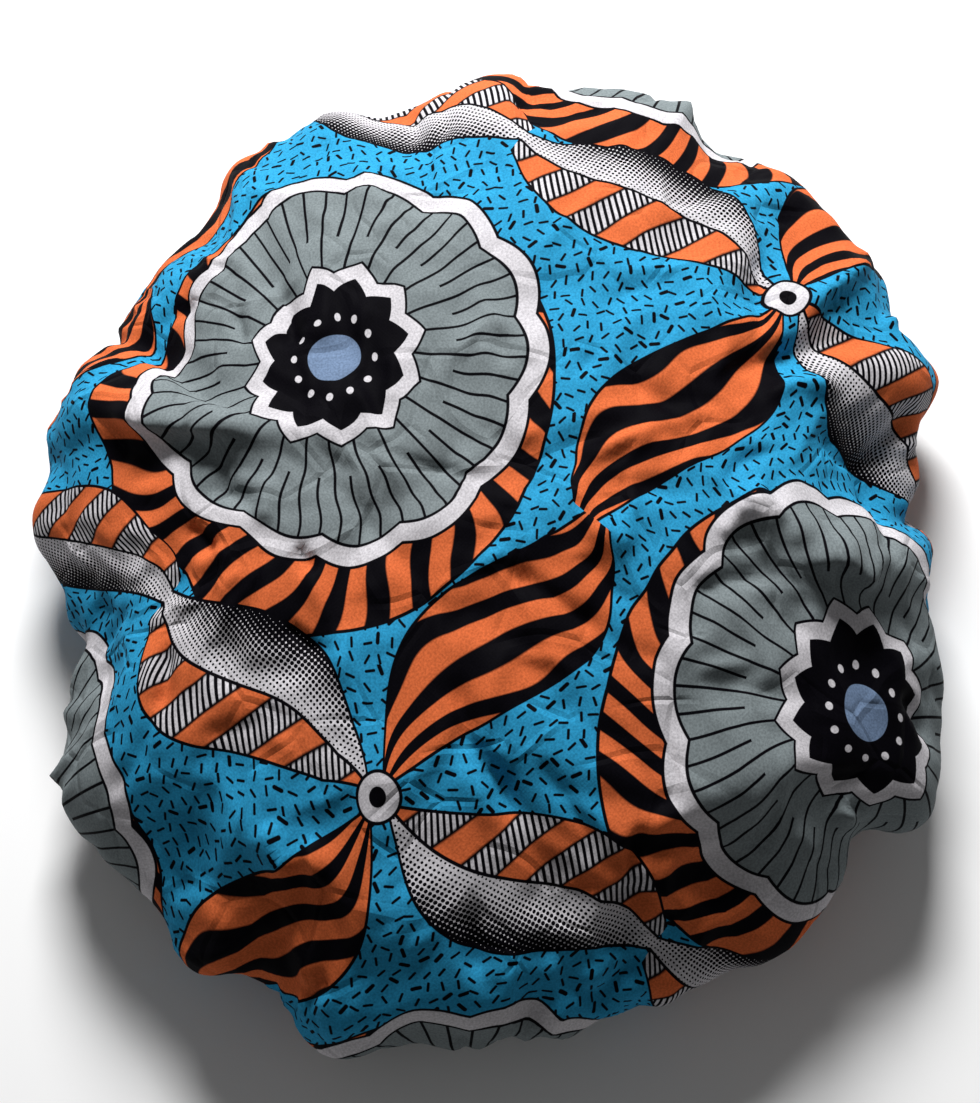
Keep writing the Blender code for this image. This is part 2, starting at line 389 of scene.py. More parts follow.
# Creases of the crown's upper side, in millimetres: the points that each runs through, looked down on,
# and how far it fades out on its left and its right. A lift above 0 makes a ridge, below 0 a valley.
CREASES = (
    ("far left valley", ((-148, 80), (-134, 72), (-114, 48), (-99, 37), (-85, 28)), -5.6, 12, 7),
    ("far left crest", ((-153, 42), (-131, 33), (-106, 26), (-83, 23)), 5.6, 12, 6),
    ("far left dent", ((-88, 82), (-78, 99), (-72, 115)), -3.0, 8, 8),
    ("far left short dent", ((-93, 61), (-99, 79)), -3.8, 5, 7),
    ("far left middle dent", ((-78, 58), (-76, 69), (-82, 88)), -4.1, 6, 8),
    ("far left rim dent", ((-134, 79), (-125, 85), (-113, 86)), -2.6, 6, 6),
    ("left hook", ((-85, -4), (-99, 2), (-102, 16)), -3.8, 6, 8),
    ("left short ridge", ((-84, -12), (-82, 8)), 3.0, 5, 7),
    ("left rim dent", ((-102, -22), (-113, -7)), -3.8, 7, 6),
    ("left of the middle, far", ((-29, -3), (-37, 9), (-43, 24), (-54, 48)), 2.8, 9, 6),
    ("left of the middle, near", ((-51, -3), (-33, -25), (-19, -40)), -2.4, 8, 8),
    ("left nick", ((-72, -19), (-64, -30)), -3.8, 4, 6),
    ("near left nick", ((-75, -48), (-63, -59)), -3.8, 4, 6),
    ("near left ridge", ((-70, -25), (-58, -47), (-51, -76)), 2.8, 8, 8),
    ("near left tuck", ((-125, -79), (-121, -70), (-120, -51)), -5.0, 5, 9),
    ("near left sheen, outer", ((-83, -119), (-73, -136)), 4.3, 7, 7),
    ("near left sheen, inner", ((-67, -125), (-61, -139)), 3.9, 6, 6),
    ("near left rim dent", ((-70, -180), (-59, -172)), -4.2, 7, 7),
    ("far right upright valley", ((104, 65), (105, 88), (108, 108)), -4.3, 10, 6),
    ("far right long valley", ((89, 49), (104, 58), (118, 63), (134, 71)), -5.0, 9, 12),
    ("far right ridge", ((119, 78), (134, 93), (152, 111)), 5.0, 9, 6),
    ("right shelf", ((102, 39), (113, 47), (126, 48), (133, 45)), 5.0, 9, 6),
    ("right pocket", ((146, 22), (158, 35), (171, 49)), -5.0, 9, 9),
    ("star, its roof", ((93, -10), (97, 1), (109, -12)), 4.1, 6, 8),
    ("star, its post", ((101, -24), (97, 1)), 3.0, 6, 6),
    ("star, its foot", ((84, -17), (93, -2)), 3.0, 6, 6),
    ("right of the middle, far", ((48, 47), (63, 37), (79, 22)), -2.8, 8, 8),
    ("right of the middle, across", ((38, 15), (59, 25), (80, 31)), 2.6, 9, 7),
    ("right of the middle, near", ((25, 8), (40, -11), (54, -26)), 2.6, 8, 8),
    ("near the middle", ((3, -26), (25, -41), (43, -55)), -2.6, 8, 8),
    ("right dent", ((72, -37), (87, -32), (102, -29)), -4.1, 6, 10),
    ("right pleat", ((113, -24), (128, -22), (145, -31)), 5.6, 12, 6),
    ("right upright valley", ((150, -23), (150, -1), (144, 22)), -4.2, 7, 7),
    ("near right star, across", ((125, -108), (132, -114), (142, -111)), 4.3, 7, 7),
    ("near right star, along", ((132, -114), (130, -104)), 3.4, 5, 5),
    ("near right rim dent", ((153, -66), (167, -82)), -3.8, 6, 6),
    ("near rim dent", ((25, -175), (40, -179), (58, -162)), -3.8, 6, 6),
    ("near long valley", ((-13, -64), (-8, -91), (3, -105), (11, -122)), -5.0, 7, 10),
    ("near short valley", ((-4, -174), (-8, -146)), -3.8, 8, 7),
)


def crease_lift(plan, crease):
    """How far one crease lifts each place of the plan: sharp on its line, fading out at its ends."""
    points = np.array(crease.points) * MM
    lengths = np.linalg.norm(np.diff(points, axis=0), axis=1)
    total, run = lengths.sum(), 0.0
    best = np.full(len(plan), np.inf)
    share, side = np.zeros(len(plan)), np.zeros(len(plan))
    for start, end, length in zip(points[:-1], points[1:], lengths):
        way = (end - start) / length
        away = plan - start
        along = np.clip(away @ way, 0.0, length)
        near = away - along[:, None] * way
        far = np.hypot(near[:, 0], near[:, 1])
        closer = far < best
        best = np.where(closer, far, best)
        share = np.where(closer, (run + along) / total, share)
        side = np.where(closer, way[0] * away[:, 1] - way[1] * away[:, 0], side)
        run += length
    width = np.where(side > 0.0, crease.left, crease.right) * MM
    blunt = 1.2 * MM
    off = np.sqrt(best * best + blunt**2) - blunt
    profile = np.clip(1.0 - off / width, 0.0, 1.0) ** 2
    ends = smooth_step(0.0, 0.25, share) * smooth_step(0.0, 0.25, 1.0 - share)
    return crease.lift * MM * profile * (0.15 + 0.85 * ends)


Facets = namedtuple("Facets", "pitch width lift level")

# Broad facets of the crumpled cloth, in millimetres: how far apart their middles lie, how far their
# edges reach in, and how far these stand up, or lie in where the lift is below 0. The level sets their
# noise.
FACETS = (Facets(34.0, 9.0, 1.7, 3), Facets(60.0, 15.0, -2.3, 8))
SMALL_CREASES = 260


def facet_lift(flat, facets):
    """How far the edges of these facets lift each place of the cut. They wander, and come and go."""
    bend_size, bend_reach, patch_size = 0.07, 0.03, 0.06
    bend = [noise_at(flat, bend_size, facets.level + more) for more in (20.3, 40.6)]
    places = (flat + bend_reach * np.column_stack(bend)) / (facets.pitch * MM)
    cells = np.floor(places).astype(int)
    repeat, steps = 64, range(-2, 3)
    scatter = np.random.default_rng(facets.level).random((repeat, repeat, 2))
    near = [cells + (over, up) for over in steps for up in steps]
    middles = np.array([cell + scatter[cell[:, 0] % repeat, cell[:, 1] % repeat] for cell in near])
    nearest = np.linalg.norm(middles - places, axis=2).argmin(axis=0)
    way = middles - middles[nearest, np.arange(len(flat))]
    length = np.linalg.norm(way, axis=2)
    across = ((middles - way / 2 - places) * way).sum(axis=2) / np.maximum(length, 1e-9)
    off = np.where(length > 1e-9, across, np.inf).min(axis=0) * facets.pitch
    shown = smooth_step(-0.12, 0.16, noise_at(flat, patch_size, facets.level + 60.9))
    return facets.lift * MM * shown * np.clip(1.0 - off / facets.width, 0.0, 1.0)


def outward_at(turn):
    """The way outwards at this share of a full turn."""
    return np.array([math.cos(TURN * turn), math.sin(TURN * turn)])


def creases(plan, flat, share):
    """How far all creases lift the cloth: those of the table, the edges of broad facets, and small
    seeded ones all over the cut."""
    lift = np.zeros(len(plan))
    for row in CREASES:
        lift += crease_lift(plan, Crease(*row))
    lift *= 1.0 - smooth_step(0.60, 0.68, share)
    low = 1.0 - 0.5 * smooth_step(0.9, 1.0, share)
    for facets in FACETS:
        lift += low * facet_lift(flat, facets)
    seed = np.random.default_rng(11)
    reach = np.hypot(flat[:, 0], flat[:, 1]).max() / MM
    for number in range(SMALL_CREASES):
        far, turn, lean, bend = seed.random(4)
        heading = turn + (lean - 0.5) * max(0.1, 0.5 - far)
        length, width = seed.uniform(14.0, 46.0), seed.uniform(4.0, 7.5)
        middle = reach * math.sqrt(far) * outward_at(turn)
        way = outward_at(heading) * length / 2
        bow = np.array([-way[1], way[0]]) * (bend - 0.5) * 0.6
        points = (middle - way, middle + bow, middle + way)
        height = seed.uniform(0.7, 1.9) * (1.0 + 0.8 * far) * (1 if number % 2 else -1)
        lift += low * crease_lift(flat, Crease("small", points, height, width, width))
    return lift


def weight(cloth, name, values):
    """A vertex group of the cloth with these values, in steps of a twentieth."""
    group = cloth.vertex_groups.new(name=name)
    levels = np.round(values * 20.0) / 20.0
    for level in np.unique(levels):
        group.add(np.flatnonzero(levels == level).tolist(), float(level), "REPLACE")


# The cloth's springs: what each resists, its stiffness and its damping
SPRINGS = (
    ("tension", 30.0, 8.0),
    ("compression", 12.0, 8.0),
    ("shear", 8.0, 8.0),
    ("bending", 0.6, 1.0),
)


def settled(cloth, hold, taut, steps):
    """Where the cloth comes to rest over a floor: cut a little too full where it isn't taut, and each
    point drawn back to its place by its hold."""
    scene = bpy.context.scene
    weight(cloth, "held", hold)
    weight(cloth, "taut", taut)
    floor = mesh_object("landing", [(-1, -1, 0), (1, -1, 0), (1, 1, 0), (-1, 1, 0)], [(0, 1, 2, 3)])
    floor.modifiers.new("landing", "COLLISION")
    floor.collision.thickness_outer = 0.5 * MM
    modifier = cloth.modifiers.new("cloth", "CLOTH")
    modifier.collision_settings.distance_min = 1.0 * MM
    modifier.point_cache.frame_end = steps
    drape = modifier.settings
    drape.quality = 7
    drape.mass = 0.03
    drape.air_damping = 2.0
    for spring, stiffness, damping in SPRINGS:
        setattr(drape, spring + "_stiffness", stiffness)
        setattr(drape, spring + "_damping", damping)
    drape.vertex_group_shrink = "taut"
    drape.shrink_min = -0.03
    drape.shrink_max = -0.008
    drape.vertex_group_mass = "held"
    drape.pin_stiffness = 1.0
    drape.effector_weights.gravity = 0.0
    for step in range(1, steps + 1):
        scene.frame_set(step)
    shown = cloth.evaluated_get(bpy.context.evaluated_depsgraph_get())
    shaped = shown.to_mesh()
    places = np.empty(3 * len(shaped.vertices), np.float32)
    shaped.vertices.foreach_get("co", places)
    shown.to_mesh_clear()
    scene.frame_set(1)
    bpy.data.objects.remove(floor, do_unlink=True)
    return places.reshape(-1, 3).astype(float)


def draped_crown(sizes):
    """The crown's cloth, with its flat cut kept as a UV map in metres, and the cut's radius."""
    grid, length = crown_grid(angles=360, shares=140, sights=150)
    grid = eased(grid, rounds=4)
    flat, faces = cut_round(length, sizes.rings)
    share = np.hypot(flat[:, 0], flat[:, 1]) / length
    angle = np.arctan2(flat[:, 1], flat[:, 0])
    base = read_grid(grid, share, angle)
    normals = read_grid(grid_normals(grid), share, angle)
    edges = edges_of(faces)
    lift = small_gathers(share, angle, sizes.gathers)
    lift += crumple(flat) * (1.0 - smooth_step(0.9, 1.0, share))
    places = base + normals * lift[:, None]
    places[:, 2] = np.maximum(places[:, 2], CLEARANCE)
    cloth = mesh_object("unsettled crown", places, faces)
    taut = 1.0 - smooth_step(0.2, 0.6, share)
    hem_hold, loose_hold = 1.0, 0.05
    hold = np.where(share > 0.995, hem_hold, loose_hold)
    away = settled(cloth, hold, taut, sizes.steps) - places
    bpy.data.objects.remove(cloth, do_unlink=True)
    away = levelled(away, edges, rounds=2)
    away -= levelled(away, edges, rounds=200) * (1.0 - smooth_step(0.9, 0.99, share))[:, None]
    upright = normals * (away * normals).sum(axis=1)[:, None]
    sideways, most = 0.35, 7.0 * MM
    away = upright + sideways * (away - upright)
    far = np.linalg.norm(away, axis=1)
    places += away * np.minimum(1.0, most / np.maximum(far, 1e-9))[:, None]
    places += normals * creases(base[:, :2], flat, share)[:, None]
    places[:, 2] = np.maximum(places[:, 2], CLEARANCE)
    crown = mesh_object("printed_crown", places, faces)
    layer = crown.data.uv_layers.new(name="cut")
    corners = np.empty(len(crown.data.loops), np.int32)
    crown.data.loops.foreach_get("vertex_index", corners)
    drawn = unstretched(flat, base, edges, share, rounds=300)
    layer.data.foreach_set("uv", drawn[corners].astype(np.float32).ravel())
    crown.data.shade_smooth()
    return crown, length


# The print. Lengths in its functions are millimetres on the cloth.


def half_drop(tree, place, start, sizes):
    """Place measured from the nearest motif of a half-drop repeat, whose first motif stands at start
    along its column."""
    column, drop = sizes.column / MM, sizes.drop / MM
    span = Vector((column, drop / 2, 1.0))
    found = []
    for origin in ((0.0, start, 0.0), (column, start + drop / 2, 0.0)):
        moved = add(tree, VECTOR, {0: place, 1: origin}, operation="SUBTRACT")
        found.append(add(tree, VECTOR, {0: moved, 1: span, 2: -span}, operation="WRAP"))
    reaches = [add(tree, VECTOR, {0: near}, operation="LENGTH") for near in found]
    nearer = add(tree, MATH, {0: reaches[1], 1: reaches[0]}, operation="LESS_THAN")
    return add(tree, MIX, {"Factor": nearer, "A": found[0], "B": found[1]}, data_type="VECTOR")


def below(tree, value, limit):
    """1 where value is below limit, with an edge as soft as printed ink has."""
    soft = 0.15
    span = {"From Min": limit - soft, "From Max": limit + soft, "To Min": 1.0, "To Max": 0.0}
    return add(tree, RANGE, {"Value": value, **span}, interpolation_type="SMOOTHSTEP")


def painted(tree, under, colour, mask):
    """Colour laid over under where mask is 1."""
    return add(tree, MIX, {"Factor": mask, "A": under, "B": colour}, data_type="RGBA")


def laid(tree, look, value, *layers):
    """The colour of each layer laid over the look where the value is below the layer's limit."""
    for limit, colour in layers:
        look = painted(tree, look, colour, below(tree, value, limit))
    return look


def turn_of(tree, place):
    """How far round the middle place lies, in radians."""
    parts = add(tree, SEPARATE, {0: place}).node.outputs
    return add(tree, MATH, {0: parts[1], 1: parts[0]}, operation="ARCTAN2")


def swing_of(tree, value, rate):
    """The sine of value times rate."""
    angle = add(tree, MATH, {0: value, 1: rate}, operation="MULTIPLY")
    return add(tree, MATH, {0: angle}, operation="SINE")


def from_ray(tree, turn, count, phase):
    """0 on each of count even rays, and 0.5 midway between two."""
    rays = add(tree, MATH, {0: turn, 1: count / TURN, 2: phase}, operation="MULTIPLY_ADD")
    return add(tree, MATH, {0: rays, 1: 0.5}, operation="PINGPONG")


def to_nearest(tree, turn, reach, count, phase):
    """Distance from the nearest of count rays, measured round the middle."""
    apart = add(tree, MATH, {0: reach, 1: TURN / count}, operation="MULTIPLY")
    return add(tree, MATH, {0: from_ray(tree, turn, count, phase), 1: apart}, operation="MULTIPLY")


def blue_ground(tree, place, colours):
    """Blue with short black ticks, each turned its own way, and a few of them fatter."""
    pitch, half_length, half_width, fatter, usual = 5.1, 1.4, 0.5, 0.25, 0.82
    links = {"Vector": place, "Scale": 1.0 / pitch, "Randomness": 0.5}
    cells = add(tree, VORONOI, links, voronoi_dimensions="2D").node.outputs
    away = add(tree, VECTOR, {0: place, 1: cells["Position"]}, operation="SUBTRACT")
    random = add(tree, "ShaderNodeSeparateColor", {0: cells["Color"]}).node.outputs
    heading = add(tree, MATH, {0: random[0], 1: math.pi}, operation="MULTIPLY")
    turned = add(tree, ROTATE, {"Vector": away, "Angle": heading}, rotation_type="Z_AXIS")
    size = add(tree, VECTOR, {0: turned}, operation="ABSOLUTE")
    parts = add(tree, SEPARATE, {0: size}).node.outputs
    along = add(tree, MATH, {0: parts[0], 1: half_length}, operation="SUBTRACT")
    past = add(tree, MATH, {0: along, 1: 0.0}, operation="MAXIMUM")
    square = add(tree, COMBINE, {0: past, 1: parts[1]})
    reach = add(tree, VECTOR, {0: square}, operation="LENGTH")
    fat = add(tree, MATH, {0: random[1], 1: usual}, operation="GREATER_THAN")
    tick = add(tree, MATH, {0: fat, 1: -fatter, 2: reach}, operation="MULTIPLY_ADD")
    return laid(tree, colours.blue, tick, (half_width, colours.black))


def round_motif(tree, under, near, colours):
    """A scalloped white ring round a grey one with rays, about a black sun with a slate middle."""
    scallops, scallop_depth, rays, half_ray, short_start = 14, 4.0, 26, 0.55, 50.0
    points, point_depth, bead_reach = 12, 5.5, 17.0
    black, white = colours.black, colours.white
    reach = add(tree, VECTOR, {0: near}, operation="LENGTH")
    turn = turn_of(tree, near)
    scallop = add(tree, MATH, {0: swing_of(tree, turn, scallops / 2)}, operation="ABSOLUTE")
    edge = add(tree, MATH, {0: scallop, 1: -scallop_depth, 2: reach}, operation="MULTIPLY_ADD")
    look = laid(tree, under, edge, (81.2, black), (80.0, white), (73.0, black), (71.8, colours.grey))
    inside = below(tree, edge, 72.4)
    beyond = add(tree, MATH, {0: short_start, 1: reach}, operation="LESS_THAN")
    outer = add(tree, MATH, {0: inside, 1: beyond}, operation="MULTIPLY")
    for phase, shown in ((0.0, inside), (0.5, outer)):
        ray = below(tree, to_nearest(tree, turn, reach, rays, phase), half_ray)
        look = painted(tree, look, black, add(tree, MATH, {0: ray, 1: shown}, operation="MULTIPLY"))
    point = from_ray(tree, turn, points, 0.0)
    sun = add(tree, MATH, {0: point, 1: 2 * point_depth, 2: reach}, operation="MULTIPLY_ADD")
    look = laid(tree, look, sun, (39.6, black), (38.5, white), (32.0, black))
    outward = add(tree, MATH, {0: reach, 1: bead_reach}, operation="SUBTRACT")
    dot = add(tree, COMBINE, {0: to_nearest(tree, turn, reach, points, 0.5), 1: outward})
    bead = add(tree, VECTOR, {0: dot}, operation="LENGTH")
    look = laid(tree, look, bead, (1.5, white))
    return laid(tree, look, reach, (10.5, colours.slate))


def striped(tree, phase, wobble, colours):
    """Orange with uneven black stripes across a phase in stripes."""
    bent = add(tree, MATH, {0: wobble, 1: 1.1, 2: phase}, operation="MULTIPLY_ADD")
    return laid(tree, colours.orange, swing_of(tree, bent, TURN), (-0.05, colours.black))


def crescent(tree, under, near, wobble, colours):
    """A striped orange crescent that looks out from under each round motif."""
    shift, count, lean = (10.0, 13.0, 0.0), 29, 0.035
    moved = add(tree, VECTOR, {0: near, 1: shift}, operation="ADD")
    reach = add(tree, VECTOR, {0: moved}, operation="LENGTH")
    rays = add(tree, MATH, {0: turn_of(tree, moved), 1: count / TURN}, operation="MULTIPLY")
    phase = add(tree, MATH, {0: reach, 1: lean, 2: rays}, operation="MULTIPLY_ADD")
    stripes = striped(tree, phase, wobble, colours)
    return laid(tree, under, reach, (94.7, colours.black), (93.5, stripes))


def halftone(tree, place, share, colours):
    """Black dots on white on a slanting grid, growing with share."""
    pitch, least, growth = 1.7, 0.2, 0.42
    slanted = add(tree, ROTATE, {"Vector": place, "Angle": math.pi / 4}, rotation_type="Z_AXIS")
    links = {"Vector": slanted, "Scale": 1.0 / pitch, "Randomness": 0.0}
    dots = add(tree, VORONOI, links, voronoi_dimensions="2D")
    grown = add(tree, MATH, {0: share, 1: -growth, 2: dots}, operation="MULTIPLY_ADD")
    ink = add(tree, MATH, {0: grown, 1: least}, operation="LESS_THAN")
    return painted(tree, colours.white, colours.black, ink)


def hatched(tree, along, across, colours):
    """Orange with outlined blocks of black and white lines."""
    block_pitch, block_lean, line_pitch, line_lean, half_line = 25.0, 0.45, 2.9, -0.8, 0.7
    lean = add(tree, MATH, {0: across, 1: block_lean, 2: along}, operation="MULTIPLY_ADD")
    swing = swing_of(tree, lean, TURN / block_pitch)
    slant = add(tree, MATH, {0: across, 1: line_lean, 2: along}, operation="MULTIPLY_ADD")
    lines = add(tree, MATH, {0: slant, 1: line_pitch / 2}, operation="PINGPONG")
    block = laid(tree, colours.white, lines, (half_line, colours.black))
    return laid(tree, colours.orange, swing, (0.24, colours.black), (-0.1, block))


def leaves(tree, under, near, place, wobble, colours):
    """Four slender leaves about each middle between the round motifs. Two are striped; in the other
    two, one half is dotted and one hatched."""
    spread, start, tip, half_width, bend = math.radians(42.0), 4.0, 130.0, 26.0, 6.0
    stripes_along, stripes_across, dotted_width, line = 2.1, 1.35, 24.0, 0.6
    parts = add(tree, SEPARATE, {0: near}).node.outputs
    product = add(tree, MATH, {0: parts[0], 1: parts[1]}, operation="MULTIPLY")
    halves = add(tree, MATH, {0: product, 1: 0.0}, operation="LESS_THAN")
    folded = add(tree, VECTOR, {0: near}, operation="ABSOLUTE")
    turned = add(tree, ROTATE, {"Vector": folded, "Angle": -spread}, rotation_type="Z_AXIS")
    along, aside = add(tree, SEPARATE, {0: turned}).node.outputs[:2]
    share = add(tree, RANGE, {"Value": along, "From Min": start, "From Max": tip})
    bow, sway = swing_of(tree, share, math.pi), swing_of(tree, share, TURN)
    across = add(tree, MATH, {0: sway, 1: -bend, 2: aside}, operation="MULTIPLY_ADD")
    off = add(tree, MATH, {0: across}, operation="ABSOLUTE")
    past = add(tree, MATH, {0: bow, 1: -half_width, 2: off}, operation="MULTIPLY_ADD")
    half = add(tree, MATH, {0: bow, 1: half_width, 2: 1.0}, operation="MULTIPLY_ADD")
    sideways = add(tree, MATH, {0: across, 1: half}, operation="DIVIDE")
    lean = add(tree, MATH, {0: share, 1: stripes_along}, operation="MULTIPLY")
    phase = add(tree, MATH, {0: sideways, 1: stripes_across, 2: lean}, operation="MULTIPLY_ADD")
    stripes = striped(tree, phase, wobble, colours)
    width = add(tree, MATH, {0: across, 1: 1.0 / dotted_width}, operation="MULTIPLY")
    dotted = halftone(tree, place, width, colours)
    blocks = hatched(tree, along, across, colours)
    upper = add(tree, MATH, {0: across, 1: 0.0}, operation="GREATER_THAN")
    mixed = painted(tree, blocks, dotted, upper)
    mixed = laid(tree, mixed, off, (line, colours.black))
    inner = painted(tree, stripes, mixed, halves)
    look = laid(tree, under, past, (line, colours.black), (-line, inner))
    reach = add(tree, VECTOR, {0: near}, operation="LENGTH")
    return laid(tree, look, reach, (9.0, colours.black), (7.8, colours.white), (3.4, colours.black))


def wandering(tree, place, pitch, most, detail):
    """Place moved about by smooth noise of this pitch, by up to half of most each way."""
    links = {"Vector": place, "Scale": 1.0 / pitch, "Detail": detail}
    bend = add(tree, NOISE, links, noise_dimensions="2D").node.outputs["Color"]
    sway = add(tree, VECTOR, {0: bend, 1: (0.5, 0.5, 0.5)}, operation="SUBTRACT")
    return add(tree, VECTOR, {0: sway, 1: (most, most, 0.0), 2: place}, operation="MULTIPLY_ADD")


def spread_noise(tree, value, least, most):
    """The middle part of a noise's range, spread from least to most."""
    links = {"Value": value, "From Min": 0.3, "From Max": 0.7, "To Min": least, "To Max": most}
    return add(tree, RANGE, links)


def fine_creases(tree, place):
    """Thin creases, finer than the mesh can hold: straight ridges and valleys that come and go."""
    bent = wandering(tree, place, pitch=70.0, most=40.0, detail=1.0)
    total = 0.0
    for pitch, width, lift, shift in ((48.0, 3.0, 1.0, 0.0), (26.0, 2.2, -1.0, 310.0)):
        moved = add(tree, VECTOR, {0: bent, 1: (shift, shift, 0.0)}, operation="ADD")
        links = {"Vector": moved, "Scale": 1.0 / pitch}
        edge = add(tree, VORONOI, links, voronoi_dimensions="2D", feature="DISTANCE_TO_EDGE")
        links = {"Value": edge, "From Max": width / pitch, "To Min": lift, "To Max": 0.0}
        roof = add(tree, RANGE, links)
        links = {"Vector": moved, "Scale": 1.0 / max(pitch, 34.0), "Detail": 0.0}
        patch = add(tree, NOISE, links, noise_dimensions="2D")
        shown = add(tree, RANGE, {"Value": patch, "From Min": 0.44, "From Max": 0.58})
        total = add(tree, MATH, {0: roof, 1: shown, 2: total}, operation="MULTIPLY_ADD")
    return total


def printed_cotton(colours, sizes):
    """Plain-weave cotton, dyed and roller printed: flat strong colours with soft ink edges, a faint
    heather of threads, and a low silky shine where a fold turns to the light."""
    lean, start = math.radians(-9.0), (54.0, -66.0, 0.0)
    material, tree = new_material("printed cotton", colours.blue)
    cut = add(tree, "ShaderNodeUVMap", uv_map="cut")
    flat = add(tree, "ShaderNodeMapping", {"Vector": cut, "Scale": (1.0 / MM, 1.0 / MM, 1.0)})
    drawn = wandering(tree, flat, pitch=50.0, most=2.0, detail=0.0)
    links = {"Vector": drawn, "Location": start, "Rotation": (0.0, 0.0, lean)}
    place = add(tree, "ShaderNodeMapping", links)
    noises = []
    for scale, detail, rough in ((1.0 / 40.0, 0.0, 0.5), (1.1, 2.0, 0.6), (1.0 / 45.0, 3.0, 0.5)):
        links = {"Vector": flat, "Scale": scale, "Detail": detail, "Roughness": rough}
        noises.append(add(tree, NOISE, links, noise_dimensions="2D"))
    waver, grain, dye = noises
    wobble = add(tree, MATH, {0: waver, 1: 0.5}, operation="SUBTRACT")
    near = half_drop(tree, place, 0.0, sizes)
    between = half_drop(tree, place, sizes.drop / MM / 2, sizes)
    look = blue_ground(tree, place, colours)
    look = crescent(tree, look, near, wobble, colours)
    look = leaves(tree, look, between, place, wobble, colours)
    look = round_motif(tree, look, near, colours)
    # Real threads are 0.35 mm apart; they are drawn coarser, so that they show
    parts = add(tree, SEPARATE, {0: flat}).node.outputs
    threads = [swing_of(tree, part, math.pi * MM / sizes.weave) for part in parts[:2]]
    weave = add(tree, MATH, {0: threads[0], 1: threads[1]}, operation="MULTIPLY")
    levels = {0: spread_noise(tree, grain, 0.8, 1.16), 1: spread_noise(tree, dye, 0.95, 1.04)}
    shade = add(tree, MATH, levels, operation="MULTIPLY")
    tinted = add(tree, VECTOR, {0: look, "Scale": shade}, operation="SCALE")
    height = add(tree, MATH, {0: weave, 1: 0.3, 2: grain}, operation="MULTIPLY_ADD")
    woven = add(tree, BUMP, {"Height": height, "Strength": 0.25, "Distance": 0.1 * MM})
    links = {"Height": fine_creases(tree, flat), "Distance": 0.5 * MM, "Normal": woven}
    links = {"Base Color": tinted, "Roughness": 0.65, "IOR": 1.47, "Normal": add(tree, BUMP, links)}
    return surfaced(material, {**links, "Specular IOR Level": 0.02})


def grained(name, colour, pitch, detail, levels, bump, finish):
    """A material whose colour has a fine grain between these levels, and stands up with it."""
    material, tree = new_material(name, colour)
    place = add(tree, "ShaderNodeTexCoord").node.outputs["Object"]
    grain = add(tree, NOISE, {"Vector": place, "Scale": 1.0 / pitch, "Detail": detail})
    level = spread_noise(tree, grain, *levels)
    tinted = add(tree, VECTOR, {0: colour[:3], "Scale": level}, operation="SCALE")
    normal = add(tree, BUMP, {"Height": grain, **bump})
    return surfaced(material, {"Base Color": tinted, "Normal": normal, **finish})


def casing_cotton(colours):
    """Black bias tape of plain cotton: matt, with a fine thread grain across its ruches."""
    bump = {"Strength": 0.4, "Distance": 0.15 * MM}
    finish = {"Roughness": 0.8, "IOR": 1.47, "Sheen Weight": 0.25}
    return grained("black bias tape", colours.casing, 1.2 * MM, 2.0, (0.75, 1.3), bump, finish)


def spun_thread(colours):
    """Spun polyester sewing thread: black, with a slight shine along its ply."""
    bump = {"Strength": 0.5, "Distance": 0.1 * MM}
    finish = {"Roughness": 0.45, "IOR": 1.55}
    return grained("spun thread", colours.black, 0.5 * MM, 1.0, (1.0, 2.2), bump, finish)


# The casing


CASING_INPUTS = ("Radius", "Width", "Height", "Ruches", "Depth")
STITCH_INPUTS = ("Radius", "Level", "Stitch", "Thread")


def new_recipe(name, numbers):
    """A geometry tree whose inputs are these numbers and a material, and its input node's sockets by
    name."""
    tree = bpy.data.node_groups.new(name, "GeometryNodeTree")
    for number in numbers:
        tree.interface.new_socket(name=number, in_out="INPUT", socket_type="NodeSocketFloat")
    tree.interface.new_socket(name="Material", in_out="INPUT", socket_type="NodeSocketMaterial")
    tree.interface.new_socket(name="Geometry", in_out="OUTPUT", socket_type="NodeSocketGeometry")
    source = tree.nodes.new("NodeGroupInput")
    return tree, {entry: source.outputs[entry] for entry in (*numbers, "Material")}


def ended(tree, shape, material):
    """The recipe with its shape made real, given its material and sent out."""
    plain = add(tree, "GeometryNodeRealizeInstances", {"Geometry": shape})
    made = add(tree, "GeometryNodeSetMaterial", {"Geometry": plain, "Material": material})
    add(tree, "NodeGroupOutput", {"Geometry": made})
    return tree


def finished(name, tree, values):
    """A plain mesh object made by a geometry tree with these values."""
    maker = mesh_object(name + " maker", [], [])
    modifier = maker.modifiers.new(name, "NODES")
    modifier.node_group = tree
    for item in tree.interface.items_tree:
        if item.in_out == "INPUT":
            modifier[item.identifier] = values[item.name]
    graph = bpy.context.evaluated_depsgraph_get()
    mesh = bpy.data.meshes.new_from_object(maker.evaluated_get(graph))
    bpy.data.objects.remove(maker, do_unlink=True)
    mesh.name = name
    mesh.transform(Matrix.Translation(HEM_MIDDLE))
    return new_object(name, mesh)


